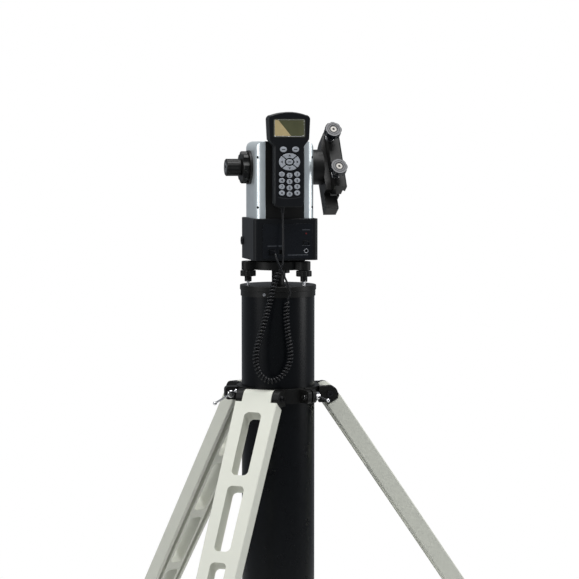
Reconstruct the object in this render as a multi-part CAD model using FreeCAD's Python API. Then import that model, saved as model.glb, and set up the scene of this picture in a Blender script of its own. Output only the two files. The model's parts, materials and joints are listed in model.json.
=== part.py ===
"""Motorised alt-azimuth telescope head with a corded handset, on a tubular pier with three legs.

Millimetres, +Z up. The origin is on the floor, on the pier's axis. +X is the altitude axis, towards the
dovetail saddle; -Y is the side with the handset. Angles in plan are degrees from +X, anticlockwise.
"""

import FreeCAD
import Part

import math
import os

V = FreeCAD.Vector
X, Y, Z = V(1, 0, 0), V(0, 1, 0), V(0, 0, 1)

# ---- pier ----
PIER_TOP = 1000.0
TUBE_R, TUBE_WALL = 75.0, 4.0
TUBE_BOTTOM = 110.0
FLANGE_R, FLANGE_T = 78.25, 10.0
RING_R, RING_T = 76.8, 12.0  # the step under the flange that holds the set screws

# ---- collar and legs ----
LEG_ANGLES = {"front": -124.6, "right": -4.6, "left": 115.4}
CLAMP_ANGLES = {"front": -64.6, "left": 175.4, "rear": 55.4}
CLAMP_TURNS = {"front": -8.0, "left": -30.0, "rear": -40.0}  # how far each T-bar hangs below level
COLLAR_Z0, COLLAR_Z1, COLLAR_R, COLLAR_BORE = 764.0, 793.5, 85.0, 75.25
SPLIT_GAP, EAR_T, EAR_R = 4.0, 9.0, 111.0
CLAMP_R, CLAMP_Z, CLAMP_HEAD_R, CLAMP_SHANK_R = 100.0, 778.5, 7.75, 4.0
HINGE_R, HINGE_Z, LUG_R, LUG_T = 100.0, 777.5, 17.0, 15.0
PIN_R = 6.0
LEG_SPLAY = 34.0
LEG_W, LEG_END_W, LEG_T, TONGUE_W = 90.0, 66.0, 34.0, 61.4  # a leg narrows towards its foot
SHOULDER = 17.1  # from the hinge's axis, along the leg
SLOT_L, SLOT_FIRST, SLOT_PITCH, SLOT_COUNT, SLOT_CORNER = 137.0, 40.0, 160.0, 5, 10.0
SLOT_SHARE = 0.41  # of the leg's width
RAIL_WALL, LINING, GROOVE_DEPTH = 8.0, 6.0, 22.0
LEG_END_Z = 52.0
FOOT_OFFSET = 9.0  # the foot's screw stands this far inside the leg's middle
PAD_R, PAD_H = 28.0, 14.0
FOOT_STEM_R = 8.0

# ---- levelling base ----
LEVEL_ANGLES = {"left": -170.8, "right": -50.8, "rear": 69.2}
LEVEL_R = 66.0
BASE_Z0, BASE_Z1 = PIER_TOP + 32, PIER_TOP + 50
LOBE_R, BASE_CORE_R = 13.5, 56.0
LEVEL_KNOB_R, LEVEL_STEM_R, LEVEL_TIP_R, LEVEL_STUD_R = 16.0, 7.25, 3.0, 5.0
COLUMN_R, SPINDLE_R = 13.0, 20.0

# ---- head ----
BOX_X0, BOX_X1, BOX_Y0, BOX_Y1 = -65.5, 68.0, -67.7, 54.0
BOX_Z0, BOX_Z1, BOX_CORNER, BOX_WALL = 1053.0, 1137.0, 9.0, 3.0
HEAD_Y0, HEAD_Y1, HEAD_TOP = -60.0, 48.0, 1292.5
CORE_X, COVER_LEFT, COVER_RIGHT, COVER_ROUND, COVER_WALL = 40.0, 59.5, 63.0, 18.5, 3.0
FRAME_WALL = 5.0
ALT_Z = 1239.7
SHAFT_R, BEARING_R = 15.0, 24.0
RUN = 0.05  # radial running clearance
MODULE, WHEEL_TEETH, WORM_R, WHEEL_T = 1.0, 72, 7.0, 8.0
AZ_WHEEL_Z, ALT_WHEEL_X = 1076.0, -23.0

# ---- altitude fittings ----
BOSS_R, BOSS_X0, BOSS_X1 = 34.5, -64.7, -60.0
KNOB_X0, KNOB_X1, KNOB_R, KNOB_LOBES = -78.3, -65.2, 32.75, 8
HUB_R, HUB_X0, HUB_X1, THREAD_R, THREAD_DEPTH = 17.5, -109.5, -78.8, 5.1, 25.0
HUB_FLUTES = 16
SADDLE_FLANGE_R, FLANGE_X0 = 36.0, 63.6
SADDLE_TILT = 31.0
# x is out from the head, k towards the knobs, s along the channel
SPINE_X0, SPINE_X1, SPINE_END_X = 89.5, 102.5, 116.0
SPINE_K0, SPINE_K1, SPINE_TOP_K, SPINE_S0, SPINE_S1 = -30.0, -2.0, 16.0, -95.5, 78.0
PLATE_X1, PLATE_K0, PLATE_K1, PLATE_S0, PLATE_S1 = 124.5, -34.0, -11.0, -50.0, 52.0
LIP_K0, LIP_X1 = -48.0, 130.5
JAW_X0, JAW_X1, JAW_K0, JAW_LIP_K, JAW_K1, JAW_S0, JAW_S1 = 103.0, 130.0, 0.0, 12.0, 34.0, -64.0, 62.0
UNDERCUT = 3.5
CLAMP_KNOB_X, CLAMP_KNOB_S = 108.0, (48.6, -38.5)
CLAMP_KNOB_R, CLAMP_KNOB_K0, CLAMP_KNOB_K1, CLAMP_STEM_R = 17.5, 56.0, 70.0, 6.0
THREAD_REACH = 20.0  # how far the clamp screws reach past the saddle's middle

# ---- handset ----
HAND_Y0, HAND_Y1, HAND_SPLIT = -98.0, -72.0, -84.0
HAND_Z0, HAND_Z1, HAND_ARCH = 1161.0, 1344.5, 6.0
HAND_HEAD_W, HAND_WAIST_W, HAND_BODY_W = 43.0, 41.0, 29.8  # half widths
HAND_WAIST_Z, HAND_BODY_Z = 1296.0, 1282.0
HAND_WALL = 2.5
WINDOW_W, WINDOW_H, WINDOW_Z = 65.0, 36.5, 1318.5
KEY_RISE, KEY_DEPTH, KEY_GAP = 1.8, 5.0, 0.4
TOP_KEY_X, TOP_KEY_Z, TOP_KEY = 12.5, 1276.0, (14.0, 11.0)
RING_Z, RING_OUT, RING_IN, ENTER_KEY = 1251.3, (43.0, 34.0), (20.5, 16.0), (14.6, 10.6)
NUMBER_KEY, NUMBER_PITCH_X, NUMBER_PITCH_Z, NUMBER_TOP, NUMBER_DROP = (11.9, 10.2), 15.7, 12.4, 1226.8, 2.4

# ---- sockets and cord ----
PORT_Z, HANDSET_PORT_X, GUIDE_PORT_X = 1070.0, -28.7, -9.0
POWER_X, POWER_Z, SWITCH_Z, LED_Z = 42.0, 1072.0, 1088.0, 1107.0
PORT_W, PORT_H, PORT_DEPTH = 10.0, 8.0, 10.0
PANEL = (-48.0, 55.0, 1057.0, 1127.0)
CORD_R, COIL_R = 2.0, 6.75
CORD_EXIT = (-10.9, -85.0, HAND_Z0)
LEAD_DOWN = [
    CORD_EXIT, (-10.9, -85, 1143), (-11, -90, 1104), (-12.4, -95, 1068),
    (-13.1, -97, 1046.9), (-17.1, -97, 1040),
]
COIL = [
    (-17.1, -97, 1040), (-26.3, -97, 1024), (-33.5, -97, 1003), (-37.5, -97, 981), (-43.8, -97, 958),
    (-50, -97, 937), (-56.5, -97, 914), (-63.3, -97, 893), (-68.5, -97, 871), (-68.9, -97, 850),
    (-63.3, -97, 832), (-53.1, -97, 819), (-39.7, -97, 812.5), (-26.3, -97, 815), (-13, -97, 825),
    (-2.6, -97, 841), (2.5, -97, 859), (1.2, -97, 880), (-2.2, -97, 901), (-5.2, -97, 924),
    (-6.6, -97, 948), (-5.6, -97, 966), (-1.8, -97, 979),
]
LEAD_UP = [
    (-1.8, -97, 979), (-0.7, -97, 982.8), (2.2, -99.5, 990), (-1, -103.5, 1000), (-9, -106.6, 1016),
    (-17.5, -107.4, 1034), (-25, -106.4, 1050), (-28.7, -102.5, 1063), (-28.7, -97, 1070), (-28.7, -84, 1070),
]
PLUG_Y = -84.0

os.makedirs("parts", exist_ok=True)


# ---- helpers ----
def block(x0, x1, y0, y1, z0, z1):
    return Part.makeBox(x1 - x0, y1 - y0, z1 - z0, V(x0, y0, z0))


def rod(radius, length, start=V(0, 0, 0), along=Z):
    return Part.makeCylinder(radius, length, start, along)


def ring(outer, inner, length, start=V(0, 0, 0), along=Z):
    return rod(outer, length, start, along).cut(rod(inner, length + 2, start - along, along))


def turned(shape, degrees, about=V(0, 0, 0), axis=Z):
    result = shape.copy()
    result.rotate(about, axis, degrees)
    return result


def plan(angle, radius=1.0, z=0.0):
    a = math.radians(angle)
    return V(radius * math.cos(a), radius * math.sin(a), z)


def joined(shapes):
    first, *rest = shapes
    return first.fuse(rest).removeSplitter() if rest else first


def polygon_prism(points, direction):
    wire = Part.makePolygon([V(*p) for p in points] + [V(*points[0])])
    return Part.Face(wire).extrude(direction)


def fillet_where(shape, radius, test):
    edges = [e for e in shape.Edges if test(e)]
    return shape.makeFillet(radius, edges)


def along_axis(edge, axis):
    if not isinstance(edge.Curve, Part.Line):
        return False
    return abs(abs(edge.Curve.Direction.dot(axis)) - 1) < 1e-6


def socket_screw(radius, head_h, start, along, shank_r=None, shank_l=0.0):
    """A cap screw: a head with a hex recess at start, its shank running on along the axis."""
    head = rod(radius, head_h, start, along)
    angles = [math.pi * i / 3 for i in range(6)]
    hexagon = [V(radius * 0.5 * math.cos(a), radius * 0.5 * math.sin(a), 0) for a in angles]
    recess = Part.Face(Part.makePolygon(hexagon + [hexagon[0]])).extrude(V(0, 0, head_h * 0.6))
    recess.Placement = FreeCAD.Placement(start, FreeCAD.Rotation(Z, along))
    head = head.cut(recess)
    if shank_l:
        head = head.fuse(rod(shank_r, shank_l, start + along * head_h, along))
    return head


def save(node, *shapes):
    shape = shapes[0] if len(shapes) == 1 else Part.makeCompound(shapes)
    assert shape.isValid(), node
    shape.exportStep(f"parts/{node}.step")
    print(f"{node:22s} solids {len(shape.Solids):2d}  volume {shape.Volume / 1000:9.1f} cm3")


def lobed_knob(radius, lobes, depth, length, chamfer):
    """A knob's solid on the Z axis, with shallow scallops between its lobes."""
    body = rod(radius, length)
    body = body.makeChamfer(chamfer, [e for e in body.Edges if isinstance(e.Curve, Part.Circle)])
    scoop_r = radius * 0.42
    at = radius + scoop_r - depth
    for i in range(lobes):
        body = body.cut(rod(scoop_r, length + 2, plan((i + 0.5) * 360 / lobes, at, -1)))
    return body


# ---- worm gearing ----
def worm_wheel(bore):
    """A wheel on the Z axis, straight teeth, a tooth space on its +X side at the middle of its face."""
    pitch_r = MODULE * WHEEL_TEETH / 2
    root_r, tip_r = pitch_r - 1.3 * MODULE, pitch_r + 0.9 * MODULE
    wheel = ring(tip_r, bore, WHEEL_T, V(0, 0, -WHEEL_T / 2))
    half_root, half_tip = 0.42 * MODULE, 1.28 * MODULE  # half the tooth space's width, at its root and tip
    space = polygon_prism(
        [
            (root_r, -half_root, -WHEEL_T),
            (tip_r + 1, -half_tip, -WHEEL_T),
            (tip_r + 1, half_tip, -WHEEL_T),
            (root_r, half_root, -WHEEL_T),
        ],
        V(0, 0, 2 * WHEEL_T),
    )
    spaces = [turned(space, i * 360 / WHEEL_TEETH) for i in range(WHEEL_TEETH)]
    return wheel.cut(spaces)


def worm(length, shaft_r, shaft_ends):
    """A single-start worm on the Z axis, its thread's middle on the +X side at z = 0."""
    pitch = math.pi * MODULE
    root_r, tip_r = WORM_R - 1.25 * MODULE, WORM_R + 0.9 * MODULE
    turns = round(length / pitch)
    height = turns * pitch
    half_root, half_tip = 0.95 * MODULE, 0.33 * MODULE
    inner = root_r - 0.4
    helix = Part.makeHelix(pitch, height, inner)
    profile = Part.makePolygon(
        [V(inner, 0, -half_root), V(tip_r, 0, -half_tip), V(tip_r, 0, half_tip),
         V(inner, 0, half_root), V(inner, 0, -half_root)]
    )
    thread = Part.Wire(helix).makePipeShell([profile], True, True)
    thread.translate(V(0, 0, -height / 2))
    core = rod(root_r, height + pitch, V(0, 0, -(height + pitch) / 2))
    core = core.fuse(rod(shaft_r, shaft_ends[1] - shaft_ends[0], V(0, 0, shaft_ends[0])))
    solid = core.fuse(thread)
    if turns % 2:
        solid.rotate(V(0, 0, 0), Z, 180)
    return solid


# ---- pier ----
def pier():
    tube_top = PIER_TOP - FLANGE_T - RING_T
    tube = ring(TUBE_R, TUBE_R - TUBE_WALL, tube_top - TUBE_BOTTOM, V(0, 0, TUBE_BOTTOM))
    inside = TUBE_R - TUBE_WALL
    plate = joined(
        [
            rod(FLANGE_R, FLANGE_T, V(0, 0, PIER_TOP - FLANGE_T)),
            rod(RING_R, RING_T, V(0, 0, tube_top)),
            rod(inside, 24, V(0, 0, tube_top - 24)),
        ]
    )
    plate = plate.cut(rod(inside - 6, 22, V(0, 0, tube_top - 25)))
    plate = plate.cut(rod(6.2, 60, V(0, 0, tube_top - 30)))
    screws, screw_z = [], tube_top + RING_T / 2
    for angle in LEG_ANGLES.values():
        outward = plan(angle)
        start = outward * (RING_R + 0.8) + V(0, 0, screw_z)
        plate = plate.cut(rod(3.0, 16, start, -outward))
        screws.append(socket_screw(3.0, 14, start, -outward))
    plate = plate.makeFillet(1.0, [e for e in plate.Edges if on_circle(e, FLANGE_R)])
    cap = rod(TUBE_R, 4, V(0, 0, TUBE_BOTTOM - 4)).fuse(ring(inside, inside - 4, 16, V(0, 0, TUBE_BOTTOM)))
    bolt = joined([rod(6.0, 90, V(0, 0, 950)), rod(20, 14, V(0, 0, 942)), rod(11, 6, V(0, 0, 956))])
    bolt.translate(V(0, 0, 4))
    save("pier_tube", tube)
    save("pier_top_plate", plate)
    save("pier_end_cap", cap.removeSplitter())
    save("pier_bolts", bolt, *screws)


def on_circle(edge, radius):
    return isinstance(edge.Curve, Part.Circle) and abs(edge.Curve.Radius - radius) < 1e-6


# ---- collar ----
def lug_profile():
    """One clevis ear in the plane of radius and height, as a face in XZ."""
    s = V(math.sin(math.radians(LEG_SPLAY)), 0, -math.cos(math.radians(LEG_SPLAY)))
    n = V(math.cos(math.radians(LEG_SPLAY)), 0, math.sin(math.radians(LEG_SPLAY)))
    hinge = V(HINGE_R, 0, HINGE_Z)
    disc = Part.Face(Part.Wire(Part.makeCircle(LUG_R, hinge, V(0, -1, 0))))
    inner = TUBE_R + 3
    arm = Part.Face(
        Part.makePolygon(
            [V(inner, 0, HINGE_Z - LUG_R), V(HINGE_R, 0, HINGE_Z - LUG_R), V(HINGE_R, 0, COLLAR_Z1),
             V(inner, 0, COLLAR_Z1), V(inner, 0, HINGE_Z - LUG_R)]
        )
    )
    stop = [hinge + s * LUG_R - n * 1.0, hinge + s * LUG_R + n * 9.0, hinge + s * 9.0 + n * 16.0, hinge]
    stop = Part.Face(Part.makePolygon(stop + [stop[0]]))
    return disc, arm, stop


def collar():
    height = COLLAR_Z1 - COLLAR_Z0
    segments, pins = [], []
    for angle in LEG_ANGLES.values():
        segment = ring(COLLAR_R, COLLAR_BORE, height, V(0, 0, COLLAR_Z0))
        for side in (-1, 1):
            ear_y = side * (SPLIT_GAP / 2 + EAR_T / 2)
            ear = block(COLLAR_R - 6, EAR_R, -EAR_T / 2, EAR_T / 2, COLLAR_Z0 + 1.5, COLLAR_Z1 - 1.5)
            ear = fillet_where(ear, 7, lambda e: along_axis(e, Y) and e.BoundBox.XMin > EAR_R - 1)
            ear.translate(V(0, ear_y, 0))
            ear = ear.cut(rod(CLAMP_SHANK_R + RUN, 40, V(CLAMP_R, -20, CLAMP_Z), Y))
            segment = segment.fuse(turned(ear, -side * 60))
        half_clevis = TONGUE_W / 2 + 0.3
        for y0 in (half_clevis, -half_clevis - LUG_T):
            for face in lug_profile():
                solid = face.extrude(V(0, LUG_T, 0))
                solid.translate(V(0, y0, 0))
                segment = segment.fuse(solid)
        segment = segment.cut(rod(COLLAR_BORE, 80, V(0, 0, COLLAR_Z0 - 20)))
        half = half_clevis
        recess = rod(LUG_R + 0.4, 2 * half, V(HINGE_R, -half, HINGE_Z), Y)
        recess = recess.fuse(block(HINGE_R - LUG_R - 0.4, HINGE_R, -half, half, COLLAR_Z0 - 20, HINGE_Z))
        segment = segment.cut(recess)
        segment = segment.cut(rod(PIN_R, 200, V(HINGE_R, -100, HINGE_Z), Y))
        wedge = Part.makeCylinder(200, 120, V(0, 0, COLLAR_Z0 - 40), Z, 120)
        wedge.rotate(V(0, 0, 0), Z, -60)
        segment = segment.common(wedge)
        for side in (-1, 1):
            cut = block(0, 200, -SPLIT_GAP / 2, SPLIT_GAP / 2, COLLAR_Z0 - 20, COLLAR_Z1 + 20)
            segment = segment.cut(turned(cut, side * 60))
        segments.append(turned(segment.removeSplitter(), angle))
        reach = half_clevis + LUG_T
        pin = rod(PIN_R, 2 * reach, V(HINGE_R, -reach, HINGE_Z), Y)
        for side in (-1, 1):
            head = socket_screw(6.5, 4.0, V(HINGE_R, side * (reach + 4.0), HINGE_Z), V(0, -side, 0))
            pin = pin.fuse(head)
        pins.append(turned(pin, angle))
    save("leg_collar", *segments)
    save("leg_hinge_pins", *pins)


def clamp_screw(name):
    """A T-handled clamp screw, drawn on the clamp's radius along +X with its head on the +Y side."""
    head_y0 = SPLIT_GAP / 2 + EAR_T + 0.2
    head_l, bar_r, ball_r, reach = 13.0, 2.0, 4.0, 38.5
    axis_point = V(CLAMP_R, 0, CLAMP_Z)
    shank_l = head_y0 + SPLIT_GAP / 2 + EAR_T + 4
    screw = rod(CLAMP_SHANK_R, shank_l, axis_point + V(0, head_y0 - shank_l, 0), Y)
    head = rod(CLAMP_HEAD_R, head_l, axis_point + V(0, head_y0, 0), Y)
    head = head.makeChamfer(1.2, [e for e in head.Edges if on_circle(e, CLAMP_HEAD_R)])
    middle = axis_point + V(0, head_y0 + head_l / 2, 0)
    short = CLAMP_HEAD_R + ball_r + 0.2
    bar = rod(bar_r, reach + short, middle - X * short, X)
    ends = [Part.makeSphere(ball_r, middle - X * short), Part.makeSphere(ball_r, middle + X * reach)]
    handle = joined([screw, head, bar, *ends])
    handle.rotate(axis_point, Y, -CLAMP_TURNS[name])
    return turned(handle, CLAMP_ANGLES[name])


# ---- legs ----
def to_leg(shape):
    """Puts a solid drawn with the hinge at the origin and the leg running down -Z at the leg's place."""
    placed = shape.copy()
    placed.rotate(V(0, 0, 0), Y, -LEG_SPLAY)
    placed.translate(V(HINGE_R, 0, HINGE_Z))
    return placed


def foot_radius():
    return HINGE_R + (HINGE_Z - LEG_END_Z) * math.tan(math.radians(LEG_SPLAY)) - FOOT_OFFSET


def leg_half_width(down, length):
    return (LEG_W + (LEG_END_W - LEG_W) * down / length) / 2


def leg_strip(x0, x1, edges, z0, z1, length):
    """A tapering prism across the leg, its side edges given as offsets (share of half width, plus mm)."""
    low, high = edges
    corners = []
    for z, (share, extra) in ((z0, low), (z1, low), (z1, high), (z0, high)):
        corners.append((x0, share * leg_half_width(-z, length) + extra, z))
    return polygon_prism(corners, V(x1 - x0, 0, 0))


def leg():
    """A leg in the XZ plane: a thick tapering bar, slotted right through, grooved up its inner face."""
    length = (HINGE_Z - LEG_END_Z) / math.cos(math.radians(LEG_SPLAY)) + LEG_T
    body = leg_strip(-LEG_T / 2, LEG_T / 2, ((-1, 0), (1, 0)), -length, -SHOULDER, length)
    body = body.makeFillet(2.5, [e for e in body.Edges if e.BoundBox.ZLength > length / 2])
    for i in range(SLOT_COUNT):
        top = -(SLOT_FIRST + i * SLOT_PITCH)
        slot = leg_strip(-LEG_T, LEG_T, ((-SLOT_SHARE, 0), (SLOT_SHARE, 0)), top - SLOT_L, top, length)
        corners = [e for e in slot.Edges if along_axis(e, X)]
        body = body.cut(slot.makeFillet(min(SLOT_CORNER, slot.BoundBox.YLength * 0.28), corners))
    groove_end = SLOT_FIRST + SLOT_COUNT * SLOT_PITCH - 20
    for side in (-1, 1):
        edges = ((side * SLOT_SHARE, side * LINING), (side, -side * RAIL_WALL))
        groove = leg_strip(-LEG_T, -LEG_T / 2 + GROOVE_DEPTH, edges, -groove_end, -SLOT_FIRST, length)
        body = body.cut(groove)
    tongue = block(-LEG_T / 2, LEG_T / 2, -TONGUE_W / 2, TONGUE_W / 2, -SHOULDER - 1, 0)
    tongue = tongue.fuse(rod(LEG_T / 2, TONGUE_W, V(0, -TONGUE_W / 2, 0), Y))
    body = body.fuse(tongue).cut(rod(PIN_R + RUN, LEG_W, V(0, -LEG_W / 2, 0), Y))
    body = to_leg(body)
    body = body.cut(block(0, 2000, -200, 200, -500, LEG_END_Z))
    body = body.cut(rod(FOOT_STEM_R + RUN, 26, V(foot_radius(), 0, LEG_END_Z - 1)))
    return body.removeSplitter()


def foot():
    """A levelling foot on the XZ plane: rubber pad, hand wheel and threaded stem."""
    at = foot_radius()
    pad = rod(PAD_R, PAD_H, V(at, 0, 0))
    pad = pad.makeFillet(3.0, [e for e in pad.Edges if on_circle(e, PAD_R) and e.BoundBox.ZMin > 1])
    wheel = lobed_knob(19.0, 12, 1.6, 10.0, 1.0)
    wheel.translate(V(at, 0, 28))
    stem = rod(FOOT_STEM_R, LEG_END_Z + 22 - PAD_H + 1, V(at, 0, PAD_H - 1))
    return joined([pad, wheel, stem, rod(12, 5, V(at, 0, PAD_H - 1))])


def stand():
    for name, angle in LEG_ANGLES.items():
        save(f"leg_{name}", turned(leg(), angle))
        save(f"foot_{name}", turned(foot(), angle))
    for name in CLAMP_ANGLES:
        save(f"clamp_screw_{name}", clamp_screw(name))


# ---- levelling base ----
def levelling_base():
    thick = BASE_Z1 - BASE_Z0
    plate = rod(BASE_CORE_R, thick, V(0, 0, BASE_Z0))
    for angle in LEVEL_ANGLES.values():
        arm = block(0, LEVEL_R, -LOBE_R, LOBE_R, BASE_Z0, BASE_Z1)
        plate = plate.fuse([turned(arm, angle), rod(LOBE_R, thick, plan(angle, LEVEL_R, BASE_Z0))])
    plate = plate.removeSplitter()
    plate = plate.makeFillet(2.0, [e for e in plate.Edges if e.BoundBox.ZMin > BASE_Z1 - 0.1])
    plate = plate.fuse(rod(COLUMN_R, BASE_Z0 - PIER_TOP, V(0, 0, PIER_TOP)))
    plate = plate.cut(rod(6.2, 80, V(0, 0, PIER_TOP - 5)))
    for name, angle in LEVEL_ANGLES.items():
        at = plan(angle, LEVEL_R)
        plate = plate.cut(rod(LEVEL_STUD_R + RUN, 14, at + V(0, 0, BASE_Z0 - 0.1)))
        knob = lobed_knob(LEVEL_KNOB_R, 16, 0.7, 11.4, 0.8)
        knob.translate(at + V(0, 0, PIER_TOP + 19.2))
        stem = rod(LEVEL_STEM_R, 12, at + V(0, 0, PIER_TOP + 8))
        stem = stem.makeFillet(1.5, [e for e in stem.Edges if e.BoundBox.ZMax < PIER_TOP + 9])
        tip = rod(LEVEL_TIP_R, 9, at + V(0, 0, PIER_TOP + 0.1))
        stud = rod(LEVEL_STUD_R, 15.5, at + V(0, 0, PIER_TOP + 30))
        save(f"levelling_screw_{name}", joined([knob, stem, tip, stud]))
    save("levelling_base", plate.removeSplitter())
    spindle = ring(SPINDLE_R, 8.0, AZ_WHEEL_Z + 14 - BASE_Z1, V(0, 0, BASE_Z1))
    spindle = spindle.fuse([ring(34.0, 8.0, 2.6, V(0, 0, BASE_Z1)), ring(24.0, 8.0, 5.9, V(0, 0, BASE_Z1))])
    save("azimuth_spindle", spindle.removeSplitter())


# ---- head ----
COVER_SCREW_Z = (ALT_Z + 20.5, ALT_Z - 80.0)
COVER_SCREW_TURN = 42.0  # degrees round the cover's front corner, from its outer side


def cover_shell(reach, inset):
    """The cover's outside, or its inside at a wall's thickness in, drawn for the right."""
    outer = reach - inset
    solid = block(CORE_X + 0.2, outer, HEAD_Y0 + inset, HEAD_Y1 - inset, BOX_Z1 + 0.2, HEAD_TOP - inset)
    rounded = []
    for edge in solid.Edges:
        upright, top = along_axis(edge, Z), along_axis(edge, Y) and edge.BoundBox.ZMin > 1200
        if edge.BoundBox.XMin > outer - 1 and (upright or top):
            rounded.append(edge)
    return solid.makeFillet(COVER_ROUND - inset, rounded)


def cover_screw_places(reach):
    """The points on a right cover's front corner where its screws go in, and their direction."""
    turn = math.radians(COVER_SCREW_TURN)
    inward = V(-math.cos(turn), math.sin(turn), 0)
    centre = V(reach - COVER_ROUND, HEAD_Y0 + COVER_ROUND, 0)
    return [(centre - inward * COVER_ROUND + V(0, 0, z), inward) for z in COVER_SCREW_Z]


def cover(side, reach):
    """A pressed metal cover with rounded outer edges, over one side of the head, and its screws."""
    hollow = cover_shell(reach, COVER_WALL)
    hollow.translate(V(-0.01, 0, 0))
    solid = cover_shell(reach, 0).cut(hollow)
    solid = solid.cut(rod(SADDLE_FLANGE_R - 14, 80, V(0, 0, ALT_Z), X))
    screws = []
    for place, inward in cover_screw_places(reach):
        solid = solid.cut(rod(2.6, 10, place - inward * 5, inward))
        screws.append(socket_screw(2.5, 2.2, place - inward * 0.4, inward, 1.5, 6))
    if side < 0:
        solid = solid.mirror(V(0, 0, 0), X)
        screws = [screw.mirror(V(0, 0, 0), X) for screw in screws]
    return solid, screws


def frame():
    """The cast frame: a floor with the azimuth bearing's seat, a portal, and the hollow upper column."""
    w = FRAME_WALL
    z_floor = BOX_Z0 + BOX_WALL
    portal_y0, portal_y1 = -46.0, 46.0
    floor = block(-57, 57, portal_y0, portal_y1, z_floor, z_floor + 8)
    walls = [block(-38, 38, y, y + w, z_floor, BOX_Z1) for y in (portal_y0, portal_y1 - w)]
    deck = block(-CORE_X, CORE_X, HEAD_Y0, HEAD_Y1, BOX_Z1, BOX_Z1 + 6)
    deck = deck.cut(block(-34, 34, portal_y0 + w, portal_y1 - w, BOX_Z1 - 1, BOX_Z1 + 7))
    column = block(-CORE_X, CORE_X, HEAD_Y0, HEAD_Y1, BOX_Z1, HEAD_TOP)
    column = column.cut(
        block(-CORE_X + w, CORE_X - w, HEAD_Y0 + w, HEAD_Y1 - w, BOX_Z1 - 1, HEAD_TOP - w)
    )
    solid = joined([floor, *walls, deck, column])
    solid = solid.cut(rod(34.0, 20, V(0, 0, z_floor - 1)))
    solid = solid.cut(rod(BEARING_R, 100, V(-50, 0, ALT_Z), X))
    return solid


def bearing(outer, inner, width, start, along):
    """Two races with a ring of balls, drawn as races and balls that just clear each other."""
    gap = (outer - inner) / 3
    outer_race = ring(outer, outer - gap, width, start, along)
    inner_race = ring(inner + gap, inner, width, start, along)
    shield = ring(outer - gap, inner + gap, width * 0.5, start + along * width * 0.25, along)
    return outer_race.fuse([inner_race, shield]).removeSplitter()


def electronics_box():
    box = block(BOX_X0, BOX_X1, BOX_Y0, BOX_Y1, BOX_Z0, BOX_Z1)
    box = fillet_where(box, BOX_CORNER, lambda e: along_axis(e, Z))
    box = box.makeFillet(1.2, [e for e in box.Edges if e.BoundBox.ZMin > BOX_Z1 - 0.1])
    t = BOX_WALL
    inner = block(BOX_X0 + t, BOX_X1 - t, BOX_Y0 + t, BOX_Y1 - t, BOX_Z0 + t, BOX_Z1 - t)
    inner = fillet_where(inner, BOX_CORNER - t, lambda e: along_axis(e, Z))
    box = box.cut(inner)
    box = box.cut(block(-CORE_X + 0.5, CORE_X - 0.5, -46.5, 46.5, BOX_Z1 - 10, BOX_Z1 + 5))
    box = box.cut(rod(34.5, 10, V(0, 0, BOX_Z0 - 2)))
    for x in (HANDSET_PORT_X, GUIDE_PORT_X):
        box = box.cut(block(x - 7, x + 7, BOX_Y0 - 1, BOX_Y0 + t + 1, PORT_Z - 6, PORT_Z + 6))
    box = box.cut(rod(4.7, 6, V(POWER_X, BOX_Y0 - 1, POWER_Z), Y))
    box = box.cut(block(POWER_X - 7, POWER_X + 7, BOX_Y0 - 1, BOX_Y0 + t + 1, SWITCH_Z - 5, SWITCH_Z + 5))
    box = box.cut(rod(1.6, 6, V(POWER_X, BOX_Y0 - 1, LED_Z), Y))
    save("electronics_box", box)
    save_panel()


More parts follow.
